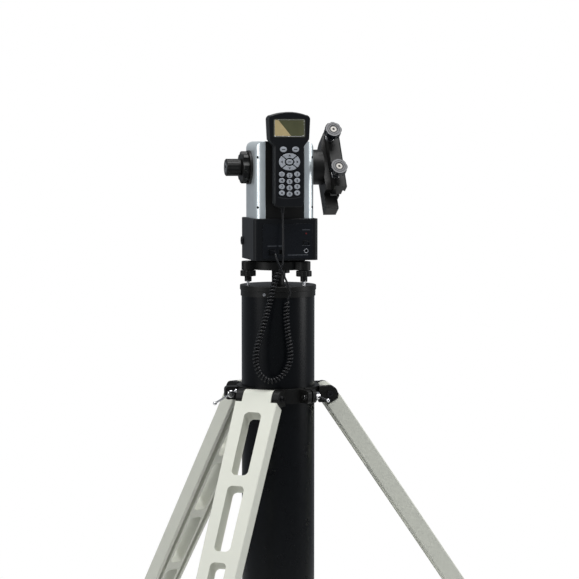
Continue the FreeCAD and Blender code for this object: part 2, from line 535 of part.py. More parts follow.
def save_panel():
    x0, x1, z0, z1 = PANEL
    panel = block(x0, x1, BOX_Y0 - 0.8, BOX_Y0 - 0.05, z0, z1)
    panel = fillet_where(panel, 4.0, lambda e: along_axis(e, Y))
    for x in (HANDSET_PORT_X, GUIDE_PORT_X):
        panel = panel.cut(block(x - 7, x + 7, BOX_Y0 - 2, BOX_Y0, PORT_Z - 6, PORT_Z + 6))
    panel = panel.cut(rod(4.7, 6, V(POWER_X, BOX_Y0 - 3, POWER_Z), Y))
    panel = panel.cut(block(POWER_X - 7, POWER_X + 7, BOX_Y0 - 2, BOX_Y0, SWITCH_Z - 5, SWITCH_Z + 5))
    panel = panel.cut(rod(1.6, 6, V(POWER_X, BOX_Y0 - 3, LED_Z), Y))
    save("port_panel", panel)
    fittings = []
    for x in (HANDSET_PORT_X, GUIDE_PORT_X):
        jack = block(x - 6.9, x + 6.9, BOX_Y0 - 0.6, BOX_Y0 + PORT_DEPTH + 4, PORT_Z - 5.9, PORT_Z + 5.9)
        half_w, half_h = PORT_W / 2, PORT_H / 2
        mouth = block(x - half_w, x + half_w, BOX_Y0 - 1, BOX_Y0 + PORT_DEPTH, PORT_Z - half_h, PORT_Z + half_h)
        fittings.append(jack.cut(mouth))
    barrel = ring(4.6, 3.0, 11, V(POWER_X, BOX_Y0 - 1.4, POWER_Z), Y)
    barrel = barrel.fuse(rod(4.6, 2, V(POWER_X, BOX_Y0 + 9.6, POWER_Z), Y))
    barrel = barrel.fuse(rod(1.0, 9, V(POWER_X, BOX_Y0 + 1, POWER_Z), Y))
    fittings.append(barrel.removeSplitter())
    led = rod(1.55, 5, V(POWER_X, BOX_Y0 - 1.2, LED_Z), Y)
    led = led.fuse(rod(2.6, 1.5, V(POWER_X, BOX_Y0 + 3.6, LED_Z), Y))
    fittings.append(led)
    bezel = block(POWER_X - 6.9, POWER_X + 6.9, BOX_Y0 - 1.2, BOX_Y0 + 8, SWITCH_Z - 4.9, SWITCH_Z + 4.9)
    bezel = bezel.cut(
        block(POWER_X - 5.6, POWER_X + 5.6, BOX_Y0 - 2, BOX_Y0 + 6.5, SWITCH_Z - 3.7, SWITCH_Z + 3.7)
    )
    save("panel_fittings", *fittings, bezel)
    rocker = rod(5.2, 6.6, V(POWER_X, BOX_Y0 + 1.2, SWITCH_Z - 3.3), Z)
    rocker = rocker.common(
        block(POWER_X - 4.9, POWER_X + 4.9, BOX_Y0 - 3.2, BOX_Y0 + 4.2, SWITCH_Z - 4, SWITCH_Z + 4)
    )
    rocker = rocker.cut(rod(16.0, 10, V(POWER_X, BOX_Y0 - 17.6, SWITCH_Z - 5), Z))
    save("power_rocker", rocker)
    side_cap = rod(8.5, 3.0, V(BOX_X0 - 2.6, 40, 1089), X)
    side_cap = side_cap.cut(rod(5.5, 1.6, V(BOX_X0 - 3, 40, 1089), X))
    side_cap = side_cap.common(rod(9, 2.55, V(BOX_X0 - 2.6, 40, 1089), X))
    save("side_port_cap", side_cap)


def head():
    save("head_frame", frame())
    right, right_screws = cover(1, COVER_RIGHT)
    left, left_screws = cover(-1, COVER_LEFT)
    save("cover_right", right)
    save("cover_left", left)
    save("cover_screws", *right_screws, *left_screws)
    rings = [bearing(34.0, SPINDLE_R + RUN, 8, V(0, 0, BOX_Z0 + BOX_WALL), Z)]
    for x in (-CORE_X, CORE_X - FRAME_WALL - 4):
        rings.append(bearing(BEARING_R, SHAFT_R + RUN, 9, V(x, 0, ALT_Z), X))
    save("axis_bearings", *rings, *worm_supports())
    electronics_box()
    save("battery", *[rod(9.2, 62, V(51, y, 1066)) for y in (-30, -11, 8, 27)])
    board = block(-34, 34, -52, -50.4, 1066, 1126)
    chip_places = ((-28, 1104), (-6, 1108), (14, 1102), (16, 1080), (-26, 1088))
    chips = [block(x, x + 12, -54, -51.9, z, z + 10) for x, z in chip_places]
    save("main_board", joined([board, *chips]))


# ---- drives ----
WORM_OFFSET = MODULE * WHEEL_TEETH / 2 + WORM_R
LEAD = math.degrees(math.atan(MODULE / (2 * WORM_R)))


def drive_frames():
    """Where each worm sits: its own Z along the worm, its +X towards the wheel."""
    azimuth = placement(V(-WORM_OFFSET, 0, AZ_WHEEL_Z), Y, X)
    altitude = placement(V(ALT_WHEEL_X, 0, ALT_Z - WORM_OFFSET), Y, Z)
    return azimuth, altitude


def placement(origin, along, towards):
    tilt = FreeCAD.Rotation(towards, -LEAD)
    rotation = FreeCAD.Rotation(towards, along.cross(towards), along, "ZXY")
    return FreeCAD.Placement(origin, tilt * rotation)


def placed(shape, frame_at):
    result = shape.copy()
    result.Placement = frame_at * shape.Placement
    return result


def worm_supports():
    """Pillow blocks either side of each worm, standing on the frame."""
    floor = BOX_Z0 + BOX_WALL + 8
    azimuth, altitude = drive_frames()
    bore = rod(2.5 + RUN, 60, V(0, 0, -30))
    supports = []
    for y0, y1 in ((-18.5, -13.5), (13.5, 18.5)):
        stand_block = block(-WORM_OFFSET - 8.5, -WORM_OFFSET + 8.5, y0, y1, floor, AZ_WHEEL_Z + 8.5)
        supports.append(stand_block.cut(placed(bore, azimuth)))
        at = ALT_Z - WORM_OFFSET
        wall_block = block(-CORE_X + FRAME_WALL, ALT_WHEEL_X + 8.5, y0, y1, at - 8.5, at + 7.5)
        supports.append(wall_block.cut(placed(bore, altitude)))
    return supports


def drives():
    azimuth, altitude = drive_frames()
    screw = worm(22.0, 2.5, (-19.0, 19.0))
    motor = rod(8.2, 20, V(0, 0, 19.6)).fuse(rod(5, 0.6, V(0, 0, 19.0)))
    save("drive_worms", placed(screw, azimuth), placed(screw, altitude))
    save("drive_motors", placed(motor, azimuth), placed(motor, altitude))
    level = worm_wheel(SPINDLE_R + RUN)
    level.translate(V(0, 0, AZ_WHEEL_Z))
    upright = worm_wheel(SHAFT_R + RUN)
    upright.rotate(V(0, 0, 0), Y, 90)
    upright.translate(V(ALT_WHEEL_X, 0, ALT_Z))
    save("drive_wheels", level, upright)
    for screw_at, wheel in ((azimuth, level), (altitude, upright)):
        print("mesh overlap", round(placed(screw, screw_at).common(wheel).Volume, 3))


# ---- altitude axis ----
def on_altitude(shape):
    """Turns a solid drawn along Z to lie along +X on the altitude axis."""
    placed = shape.copy()
    placed.rotate(V(0, 0, 0), Y, 90)
    placed.translate(V(0, 0, ALT_Z))
    return placed


def to_saddle(shape):
    """Places a solid drawn in saddle axes (X out, -Y towards the knobs, Z along the channel)."""
    placed = shape.copy()
    placed.rotate(V(0, 0, 0), X, -SADDLE_TILT)
    placed.translate(V(0, 0, ALT_Z))
    return placed


def altitude_axis():
    shaft = rod(SHAFT_R, FLANGE_X0 - KNOB_X0, V(KNOB_X0, 0, ALT_Z), X)
    flange = rod(SADDLE_FLANGE_R, SPINE_X0 - FLANGE_X0, V(FLANGE_X0, 0, ALT_Z), X)
    flange = fillet_where(
        flange, 2.0, lambda e: on_circle(e, SADDLE_FLANGE_R) and e.BoundBox.XMax < FLANGE_X0 + 1
    )
    clutch_plate = rod(BOSS_R, BOSS_X1 - BOSS_X0, V(BOSS_X0, 0, ALT_Z), X)
    shaft = shaft.fuse([flange, clutch_plate]).cut(rod(6, 40, V(KNOB_X0 - 1, 0, ALT_Z), X))
    save("altitude_shaft", shaft.removeSplitter())
    knob = lobed_knob(KNOB_R, KNOB_LOBES, 4.5, KNOB_X1 - KNOB_X0, 2.0)
    knob = knob.cut(rod(SHAFT_R + RUN, 40, V(0, 0, -5)))
    knob = on_altitude(knob)
    knob.translate(V(KNOB_X0, 0, 0))
    save("altitude_clutch_knob", knob)
    hub = rod(HUB_R, HUB_X1 - HUB_X0)
    hub = hub.makeChamfer(1.5, [e for e in hub.Edges if on_circle(e, HUB_R)])
    for i in range(HUB_FLUTES):
        flute = rod(1.1, HUB_X1 - HUB_X0 - 5, plan(i * 360 / HUB_FLUTES, HUB_R + 0.35, -1))
        hub = hub.cut(flute)
    hub = hub.cut(rod(THREAD_R, THREAD_DEPTH + 1, V(0, 0, -1)))
    hub = on_altitude(hub)
    hub.translate(V(HUB_X0, 0, 0))
    stud = rod(6, 20, V(HUB_X1 - 1, 0, ALT_Z), X)
    save("counterweight_hub", hub.fuse(stud).removeSplitter())


def saddle_block(x0, x1, k0, k1, s0, s1):
    return block(x0, x1, -k1, -k0, s0, s1)


def saddle_prism(points, s0, s1):
    """Extrudes an outline given in (x, k) along the channel."""
    return polygon_prism([(x, -k, s0) for x, k in points], V(0, 0, s1 - s0))


def spine_slab(k0, k1):
    """The spine's outline, cut away towards the head at its top, between two levels."""
    outline = [
        (SPINE_X0, SPINE_S0), (SPINE_END_X, SPINE_S0), (SPINE_END_X, SPINE_S1), (SPINE_END_X - 8, SPINE_S1),
        (SPINE_END_X - 14, SPINE_S1 - 5), (SPINE_X0 + 8, SPINE_S1 - 18), (SPINE_X0, 24),
    ]
    return polygon_prism([(x, -k1, s) for x, s in outline], V(0, k1 - k0, 0))


def saddle():
    spine = spine_slab(SPINE_K0, SPINE_K1)
    under = spine_slab(SPINE_K1 - 1, SPINE_TOP_K).common(
        saddle_block(SPINE_X0, SPINE_END_X, SPINE_K1 - 1, SPINE_TOP_K, JAW_S0 + 2, SPINE_S1)
    )
    jaw_room = saddle_block(
        SPINE_X1, SPINE_END_X + 1, SPINE_K0 - 1, SPINE_TOP_K + 1, JAW_S0 - 2.5, JAW_S1 + 2.5
    )
    base = joined([spine, under]).cut(jaw_room)
    plate = saddle_block(SPINE_X1 - 1, PLATE_X1, PLATE_K0, PLATE_K1, PLATE_S0, PLATE_S1)
    lip = saddle_prism(
        [
            (SPINE_X1 - 1, LIP_K0), (LIP_X1 - 3, LIP_K0), (LIP_X1, LIP_K0 + 3),
            (LIP_X1, PLATE_K0 + UNDERCUT), (PLATE_X1, PLATE_K0), (SPINE_X1 - 1, PLATE_K0),
        ],
        PLATE_S0, PLATE_S1,
    )
    base = joined([base, plate, lip])
    for s in CLAMP_KNOB_S:
        hole = rod(CLAMP_STEM_R - 2 + RUN, PLATE_K1 + 41, V(CLAMP_KNOB_X, -PLATE_K1 - 1, s), Y)
        base = base.cut(hole)
    save("saddle_base", to_saddle(base.removeSplitter()))
    jaw = saddle_prism(
        [
            (JAW_X0, JAW_K0), (PLATE_X1, JAW_K0), (PLATE_X1, JAW_LIP_K + UNDERCUT), (JAW_X1, JAW_LIP_K),
            (JAW_X1, JAW_K1 - 3), (JAW_X1 - 3, JAW_K1), (JAW_X0, JAW_K1),
        ],
        JAW_S0, JAW_S1,
    )
    for s in CLAMP_KNOB_S:
        jaw = jaw.cut(rod(CLAMP_STEM_R - 2 + RUN, 60, V(CLAMP_KNOB_X, -JAW_K1 - 10, s), Y))
    save("saddle_jaw", to_saddle(jaw))
    for name, s in zip(("upper", "lower"), CLAMP_KNOB_S):
        save(f"saddle_knob_{name}", to_saddle(saddle_knob(s)))


def saddle_knob(s):
    length = CLAMP_KNOB_K1 - CLAMP_KNOB_K0
    knob = lobed_knob(CLAMP_KNOB_R, 8, 1.6, length, 1.2)
    knob = knob.cut(ring(12.6, 11.4, 1, V(0, 0, -0.2)))
    knob = knob.cut(rod(9.2, 0.8))
    insert = ring(6.25, 2.6, 4, V(0, 0, 0.2))
    knob = knob.fuse([insert, rod(CLAMP_STEM_R, CLAMP_KNOB_K0 - JAW_K1 - 3.0, V(0, 0, length))])
    knob = knob.cut(rod(2.6, 3, V(0, 0, -1)))
    washer = rod(9.0, 2.4, V(0, 0, length + CLAMP_KNOB_K0 - JAW_K1 - 2.8))
    reach = CLAMP_KNOB_K0 + THREAD_REACH
    shank = rod(CLAMP_STEM_R - 2, reach, V(0, 0, length))
    knob = joined([knob, washer, shank])
    knob.rotate(V(0, 0, 0), X, -90)
    knob.translate(V(CLAMP_KNOB_X, -CLAMP_KNOB_K1, s))
    return knob


# ---- handset ----
def ellipse_solid(size, x, z, y0, y1):
    a, b = size[0] / 2, size[1] / 2
    curve = Part.Ellipse(V(0, 0, 0), a, b)
    face = Part.Face(Part.Wire(curve.toShape()))
    solid = face.extrude(V(0, 0, y1 - y0))
    solid.rotate(V(0, 0, 0), X, 90)
    solid.translate(V(x, y1, z))
    return solid


def handset_outline(inset, y0, y1):
    head_w, waist_w, body_w = HAND_HEAD_W - inset, HAND_WAIST_W - inset, HAND_BODY_W - inset
    z0, z1 = HAND_Z0 + inset, HAND_Z1 - inset
    corner = max(9.0 - inset, 2.0)

    def p(x, z):
        return V(x, y0, z)

    arch = Part.Arc(p(-head_w + corner, z1), p(0, z1 + HAND_ARCH), p(head_w - corner, z1)).toShape()
    c = corner * (1 - math.sqrt(0.5))
    edges = [
        arch,
        Part.Arc(p(head_w - corner, z1), p(head_w - c, z1 - c), p(head_w, z1 - corner)).toShape(),
        Part.makeLine(p(head_w, z1 - corner), p(waist_w, HAND_WAIST_Z)),
        Part.makeLine(p(waist_w, HAND_WAIST_Z), p(body_w, HAND_BODY_Z)),
        Part.makeLine(p(body_w, HAND_BODY_Z), p(body_w, z0 + corner)),
        Part.Arc(p(body_w, z0 + corner), p(body_w - c, z0 + c), p(body_w - corner, z0)).toShape(),
        Part.makeLine(p(body_w - corner, z0), p(-body_w + corner, z0)),
        Part.Arc(p(-body_w + corner, z0), p(-body_w + c, z0 + c), p(-body_w, z0 + corner)).toShape(),
        Part.makeLine(p(-body_w, z0 + corner), p(-body_w, HAND_BODY_Z)),
        Part.makeLine(p(-body_w, HAND_BODY_Z), p(-waist_w, HAND_WAIST_Z)),
        Part.makeLine(p(-waist_w, HAND_WAIST_Z), p(-head_w, z1 - corner)),
        Part.Arc(p(-head_w, z1 - corner), p(-head_w + c, z1 - c), p(-head_w + corner, z1)).toShape(),
    ]
    return Part.Face(Part.Wire(edges)).extrude(V(0, y1 - y0, 0))


def number_keys():
    keys = []
    for row in range(4):
        for column in (-1, 0, 1):
            drop = NUMBER_DROP if column == 0 else 0
            keys.append((column * NUMBER_PITCH_X, NUMBER_TOP - row * NUMBER_PITCH_Z - drop))
    return keys


def key(size, x, z, trim=0.0):
    solid = ellipse_solid((size[0] - trim, size[1] - trim), x, z, HAND_Y0 - KEY_RISE, HAND_Y0 + KEY_DEPTH)
    front = [e for e in solid.Edges if e.BoundBox.YMax < HAND_Y0 - KEY_RISE + 0.1]
    return solid.makeFillet(1.0, front)


def arrow_keys():
    whole = ellipse_solid(RING_OUT, 0, RING_Z, HAND_Y0 - KEY_RISE, HAND_Y0 + KEY_DEPTH)
    front = [e for e in whole.Edges if e.BoundBox.YMax < HAND_Y0 - KEY_RISE + 0.1]
    whole = whole.makeFillet(1.0, front)
    whole = whole.cut(ellipse_solid(RING_IN, 0, RING_Z, HAND_Y0 - 9, HAND_Y0 + 9))
    keys = {}
    half = math.atan2(RING_OUT[1], RING_OUT[0])
    reach, gap = 60.0, 1.1
    for name, middle, spread in (
        ("right", 0.0, half), ("up", math.pi / 2, math.pi / 2 - half),
        ("left", math.pi, half), ("down", -math.pi / 2, math.pi / 2 - half),
    ):
        shift = gap / math.sin(spread)
        tip = V(shift * math.cos(middle), 0, RING_Z + shift * math.sin(middle))
        edges = (middle - spread, middle + spread)
        ends = [tip + V(reach * math.cos(a), 0, reach * math.sin(a)) for a in edges]
        sector = Part.Face(Part.makePolygon([tip, ends[0], ends[1], tip])).extrude(V(0, 30, 0))
        sector.translate(V(0, HAND_Y0 - 15, 0))
        keys[name] = whole.common(sector)
    return keys


def handset():
    front = handset_outline(0, HAND_Y0, HAND_SPLIT - 0.05)
    front = front.makeChamfer(1.6, [e for e in front.Edges if e.BoundBox.YMax < HAND_Y0 + 0.01])
    front = front.cut(handset_outline(HAND_WALL, HAND_Y0 + HAND_WALL, HAND_SPLIT + 1))
    back = handset_outline(0, HAND_SPLIT, HAND_Y1)
    back = back.makeChamfer(1.6, [e for e in back.Edges if e.BoundBox.YMin > HAND_Y1 - 0.01])
    back = back.cut(handset_outline(HAND_WALL, HAND_SPLIT - 1, HAND_Y1 - HAND_WALL))
    half_w, half_h = WINDOW_W / 2, WINDOW_H / 2
    opening = block(-half_w, half_w, HAND_Y0 - 1, HAND_Y0 + 4, WINDOW_Z - half_h, WINDOW_Z + half_h)
    opening = fillet_where(opening, 3, lambda e: along_axis(e, Y))
    front = front.cut(opening)
    y, z0, z1 = HAND_Y0, WINDOW_Z - half_h, WINDOW_Z + half_h
    glass = block(-half_w + 0.1, half_w - 0.1, y + 0.4, y + 2.4, z0 + 0.1, z1 - 0.1)
    glass = fillet_where(glass, 2.9, lambda e: along_axis(e, Y))
    display = block(-half_w + 2, half_w - 2, y + 2.6, y + 6, z0 + 2, z1 - 2)
    places = [(RING_OUT, 0, RING_Z), (TOP_KEY, -TOP_KEY_X, TOP_KEY_Z), (TOP_KEY, TOP_KEY_X, TOP_KEY_Z)]
    places += [(NUMBER_KEY, x, z) for x, z in number_keys()]
    wells = []
    for size, x, z in places:
        wells.append(ellipse_solid((size[0] + KEY_GAP, size[1] + KEY_GAP), x, z, y - 2, y + 4))
    exit_at = V(CORD_EXIT[0], CORD_EXIT[1], HAND_Z0 - 1)
    front = front.cut([*wells, rod(3.2, 8, exit_at)])
    save("handset_front", front)
    save("handset_window", glass)
    board = block(-27, 27, HAND_SPLIT + 1.5, HAND_SPLIT + 3.1, HAND_Z0 + 12, HAND_BODY_Z - 2)
    save("handset_board", board, display)
    relief = Part.makeCone(4.2, 3.0, 12, V(CORD_EXIT[0], CORD_EXIT[1], HAND_Z0 - 0.05), -Z)
    relief = relief.fuse(rod(3.15, 6, V(CORD_EXIT[0], CORD_EXIT[1], HAND_Z0 - 1)))
    relief_hole = rod(CORD_R + 0.05, 30, V(CORD_EXIT[0], CORD_EXIT[1], HAND_Z0 - 15))
    save("handset_back", back.cut(rod(3.2, 8, exit_at)), relief.cut(relief_hole).removeSplitter())
    for x, name in ((-TOP_KEY_X, "key_menu"), (TOP_KEY_X, "key_back")):
        save(name, key(TOP_KEY, x, TOP_KEY_Z))
    save("key_enter", key(ENTER_KEY, 0, RING_Z))
    for name, solid in arrow_keys().items():
        save(f"key_{name}", solid)
    save("number_keys", *[key(NUMBER_KEY, x, z) for x, z in number_keys()])
    holder = block(-24, 24, HAND_Y1 + 0.2, HEAD_Y0 - 0.2, 1178, 1262)
    holder = holder.cut(block(-16, 16, HAND_Y1 + 3, HEAD_Y0 - 3.2, 1170, 1270))
    save("handset_holder", holder)


# ---- cord ----
def corded(points, radius):
    """A tube along straight runs joined by tangent arcs; also its length and its arcs' radii."""
    p = [V(*q) for q in points]
    edges, at, radii = [], p[0], []
    for i in range(1, len(p) - 1):
        a, b = (p[i] - p[i - 1]), (p[i + 1] - p[i])
        run = min(a.Length, b.Length)
        u, v = a.normalize(), b.normalize()
        half = math.acos(max(-1, min(1, u.dot(v)))) / 2
        bend = 0.45 * run / math.tan(half)
        back = 0.45 * run
        start, end = p[i] - u * back, p[i] + v * back
        middle = p[i] + (v - u).normalize() * (bend / math.cos(half) - bend)
        edges.append(Part.LineSegment(at, start).toShape())
        edges.append(Part.Arc(start, middle, end).toShape())
        at = end
        radii.append(bend)
    edges.append(Part.LineSegment(at, p[-1]).toShape())
    path = Part.Wire(edges)
    section = Part.Wire(Part.makeCircle(radius, p[0], p[1] - p[0]))
    tube = path.makePipeShell([section], True, True)
    return tube, path.Length, radii


def cord():
    for name, points, radius in (
        ("cord_lead_handset", LEAD_DOWN, CORD_R),
        ("cord_coil", COIL, COIL_R),
        ("cord_lead_plug", LEAD_UP, CORD_R),
    ):
        tube, length, radii = corded(points, radius)
        share = tube.Volume / (math.pi * radius**2 * length)
        print(f"{name}: length {length:.0f}, volume share {share:.3f}, least radius {min(radii):.1f}")
        save(name, tube)
    x, z = HANDSET_PORT_X, PORT_Z
    nose = block(x - 4.7, x + 4.7, BOX_Y0 - 5, BOX_Y0 + 8, z - 3.7, z + 3.7)
    grip = block(x - 5.6, x + 5.6, PLUG_Y + 5, BOX_Y0 - 2, z - 4.6, z + 4.6)
    neck = Part.makeCone(3.0, 4.2, 5.2, V(HANDSET_PORT_X, PLUG_Y, PORT_Z), Y)
    save("cord_plug", joined([nose, grip, neck]))


pier()
collar()
stand()
levelling_base()
head()
drives()
altitude_axis()
saddle()
handset()
cord()
print(f"foot circle radius {foot_radius():.3f}, nodes {len(os.listdir('parts'))}")
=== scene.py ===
"""The telescope mount's looks, built around its CAD frame. Metres, +Z up, the handset on the -Y side."""

import json
import math

import bpy
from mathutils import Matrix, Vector


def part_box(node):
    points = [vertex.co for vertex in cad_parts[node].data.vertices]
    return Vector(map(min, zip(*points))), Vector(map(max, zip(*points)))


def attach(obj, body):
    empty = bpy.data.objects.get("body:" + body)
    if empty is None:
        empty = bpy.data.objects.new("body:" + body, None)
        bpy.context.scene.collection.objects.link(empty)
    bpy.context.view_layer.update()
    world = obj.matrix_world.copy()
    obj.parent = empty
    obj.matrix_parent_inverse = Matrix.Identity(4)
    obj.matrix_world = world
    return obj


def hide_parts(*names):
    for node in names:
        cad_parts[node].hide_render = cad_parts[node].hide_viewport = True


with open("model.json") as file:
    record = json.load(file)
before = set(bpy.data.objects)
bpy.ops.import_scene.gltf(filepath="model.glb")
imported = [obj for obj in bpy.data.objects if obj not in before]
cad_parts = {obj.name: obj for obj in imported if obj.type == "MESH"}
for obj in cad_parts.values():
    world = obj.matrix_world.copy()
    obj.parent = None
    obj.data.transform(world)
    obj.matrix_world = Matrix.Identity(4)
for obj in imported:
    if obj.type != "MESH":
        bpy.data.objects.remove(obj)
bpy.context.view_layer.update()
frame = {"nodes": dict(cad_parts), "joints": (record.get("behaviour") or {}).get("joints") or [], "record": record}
scene = bpy.context.scene
MM = 0.001

# ---- camera and picture ----
CAMERA_SIDE = Vector((-0.2334, -0.9724, 0.0))
CAMERA_DISTANCE, CAMERA_HEIGHT = 3.7, 1.2785
CAMERA_TARGET = Vector((0.0229, -0.0055, 0.9893))
LENS = 112.4

# ---- places on the CAD, millimetres ----
ALTITUDE_Z = 1239.7
LEVEL_TIP_TOP = 1011  # below it a levelling screw is bare steel
FOOT_STEM_BASE = 16
PANEL_FITTINGS_TOP = 1080  # the lamp is above it
JACK_X, JACK_Z, JACK_BORE = 42.0, 1072.0, 2.9
HAND_Y, KEY_RISE = -98.0, 1.8
ARROW_RING_Z = 1251.3
ARROWS = {"up": (0, 12.6, 0), "down": (0, -12.6, 180), "left": (-15.9, 0, 90), "right": (15.9, 0, -90)}
NUMBER_PITCH_X, NUMBER_PITCH_Z, NUMBER_TOP, NUMBER_DROP = 15.7, 12.4, 1226.8, 2.4
NUMBERS = (("1", "2", "3"), ("4", "5", "6"), ("7", "8", "9"), ("", "0", ""))
PANEL_MARKS = ((-38, -19, 1082), (-16, -4, 1082), (34, 50, 1114), (34, 50, 1082.5), (4, 46, 1063.5))

# ---- cord ----
CORD_D, COIL_D, COIL_PITCH = 4.0 * MM, 13.5 * MM, 7.0 * MM
COIL_POINTS = 14  # in each turn
COIL_END, END_WINDING = 2.2, 0.2  # the turns over which the coil opens, and the least it winds there
LEAD_DOWN = [
    (-10.9, -85, 1160), (-10.9, -85, 1143), (-11, -90, 1104), (-12.4, -95, 1068), (-13.1, -97, 1046.9),
]
COIL = [
    (-17.1, -97, 1040), (-26.3, -97, 1024), (-33.5, -97, 1003), (-37.5, -97, 981), (-43.8, -97, 958),
    (-50, -97, 937), (-56.5, -97, 914), (-63.3, -97, 893), (-68.5, -97, 871), (-68.9, -97, 850),
    (-63.3, -97, 832), (-53.1, -97, 819), (-39.7, -97, 812.5), (-26.3, -97, 815), (-13, -97, 825),
    (-2.6, -97, 841), (2.5, -97, 859), (1.2, -97, 880), (-2.2, -97, 901), (-5.2, -97, 924),
    (-6.6, -97, 948), (-5.6, -97, 966), (-1.8, -97, 979),
]
LEAD_UP = [
    (-0.7, -97, 982.8), (2.2, -99.5, 990), (-1, -103.5, 1000), (-9, -106.6, 1016), (-17.5, -107.4, 1034),
    (-25, -106.4, 1050), (-28.7, -102.5, 1063), (-28.7, -97, 1070), (-28.7, -84, 1070),
]


# ---- materials ----
GRAIN_SCALE, CLOUD_SCALE = 900.0, 38.0


def linear(value):
    """A screen value from 0 to 255 as linear light."""
    value /= 255
    return value / 12.92 if value <= 0.04045 else ((value + 0.055) / 1.055) ** 2.4


def rgb(r, g, b):
    return (linear(r), linear(g), linear(b), 1.0)


def cloudy(tree, surface, colour, rough, vary):
    """Slow, slight changes of colour and gloss over the surface, as paint and metal have."""
    place = tree.nodes.new("ShaderNodeTexCoord")
    noise = tree.nodes.new("ShaderNodeTexNoise")
    noise.inputs["Scale"].default_value = CLOUD_SCALE
    noise.inputs["Detail"].default_value = 5.0
    tree.links.new(place.outputs["Object"], noise.inputs["Vector"])
    ramp = tree.nodes.new("ShaderNodeValToRGB")
    for stop, place_at, gain in zip(ramp.color_ramp.elements, (0.3, 0.7), (1 - vary, 1 + vary)):
        stop.position = place_at
        stop.color = (*(min(1.0, channel * gain) for channel in colour[:3]), 1)
    tree.links.new(noise.outputs["Fac"], ramp.inputs["Fac"])
    tree.links.new(ramp.outputs["Color"], surface.inputs["Base Color"])
    gloss = tree.nodes.new("ShaderNodeMapRange")
    gloss.inputs["To Min"].default_value = rough * (1 - vary)
    gloss.inputs["To Max"].default_value = min(1.0, rough * (1 + vary))
    tree.links.new(noise.outputs["Fac"], gloss.inputs["Value"])
    tree.links.new(gloss.outputs["Result"], surface.inputs["Roughness"])


def material(name, colour, rough=0.5, metal=0.0, grain=0.0, bevel=0.6, shine=0.5, vary=0.1):
    """A surface with softened edges and, where grain is set, a fine moulded or cast texture."""
    made = bpy.data.materials.new(name)
    made.use_nodes = True
    tree = made.node_tree
    surface = tree.nodes["Principled BSDF"]
    surface.inputs["Base Color"].default_value = colour
    surface.inputs["Roughness"].default_value = rough
    surface.inputs["Metallic"].default_value = metal
    surface.inputs["Specular IOR Level"].default_value = shine
    if vary:
        cloudy(tree, surface, colour, rough, vary)
    normal = None
    if bevel:
        edge = tree.nodes.new("ShaderNodeBevel")
        edge.samples = 4
        edge.inputs["Radius"].default_value = bevel * MM
        normal = edge.outputs["Normal"]
    if grain:
        noise = tree.nodes.new("ShaderNodeTexNoise")
        noise.inputs["Scale"].default_value = GRAIN_SCALE
        noise.inputs["Detail"].default_value = 2.0
        place = tree.nodes.new("ShaderNodeTexCoord")
        tree.links.new(place.outputs["Object"], noise.inputs["Vector"])
        bump = tree.nodes.new("ShaderNodeBump")
        bump.inputs["Strength"].default_value = grain
        bump.inputs["Distance"].default_value = 0.3 * MM
        tree.links.new(noise.outputs["Fac"], bump.inputs["Height"])
        if normal:
            tree.links.new(normal, bump.inputs["Normal"])
        normal = bump.outputs["Normal"]
    if normal:
        tree.links.new(normal, surface.inputs["Normal"])
    return made


MATERIALS = {
    "pier_black": material("pier_black", rgb(5, 7, 10), 0.28, bevel=0.8, shine=0.2),
    "cast_black": material("cast_black", rgb(17, 17, 16), 0.42, grain=0.12, bevel=0.8, shine=0.24),
    "white_coat": material("white_coat", rgb(209, 210, 199), 0.5, bevel=0, shine=0.25, vary=0.012),
    "bright_steel": material("bright_steel", rgb(214, 214, 216), 0.18, metal=1.0, bevel=0.4),
    "dark_steel": material("dark_steel", rgb(44, 44, 46), 0.35, metal=0.8, bevel=0.3),
    "silver_cover": material("silver_cover", rgb(222, 230, 232), 0.32, metal=0.75, bevel=0.8, vary=0.03),
    "black_plastic": material("black_plastic", rgb(13, 15, 18), 0.42, grain=0.1, bevel=0.6, shine=0.22),
    "gloss_black": material("gloss_black", rgb(13, 16, 21), 0.28, bevel=0.4, shine=0.28),
    "grey_key": material("grey_key", rgb(150, 154, 160), 0.55, bevel=0.3, shine=0.3),
    "window_clear": material("window_clear", rgb(74, 74, 55), 0.14, bevel=0.2),
    "circuit_green": material("circuit_green", rgb(24, 92, 48), 0.4, bevel=0.2),
    "cell_wrap": material("cell_wrap", rgb(62, 92, 150), 0.3, bevel=0.3),
    "bronze_gear": material("bronze_gear", rgb(196, 150, 84), 0.3, metal=1.0, bevel=0.1),
    "cord_black": material("cord_black", rgb(7, 8, 12), 0.28, bevel=0.2, shine=0.32),
    "foot_rubber": material("foot_rubber", rgb(24, 24, 24), 0.75, bevel=0.5, shine=0.3),
}
RED_LAMP = material("red_lamp", rgb(110, 26, 26), 0.3, bevel=0)
LEGEND = material("legend", rgb(24, 26, 30), 0.6, bevel=0)
# A tan painted reflection for the display window.
DISPLAY_REFLECTION = material("display_reflection", rgb(178, 160, 118), 0.25, bevel=0, vary=0.14)
DISPLAY_DARK = material("display_dark", rgb(78, 79, 55), 0.2, bevel=0, vary=0.14)
SEAM = material("seam", rgb(52, 54, 58), 0.5, bevel=0)
PANEL_MARK = material("panel_mark", rgb(92, 96, 102), 0.6, bevel=0)
FLOOR = material("floor", rgb(228, 228, 226), 0.7, bevel=0, shine=0.2, vary=0.02)
KNOB_FACE = material("knob_face", rgb(84, 84, 86), 0.45, metal=0.3, bevel=0.2)
INSERT = material("insert", rgb(172, 168, 162), 0.5, bevel=0, shine=0.3)


def finish_nodes():
    """Each CAD node gets the surface of its slot."""
    for sub in frame["record"]["subparts"]:
        node = frame["nodes"][sub["node"]]
        node.data.materials.clear()
        node.data.materials.append(MATERIALS[sub["material_slot"]])


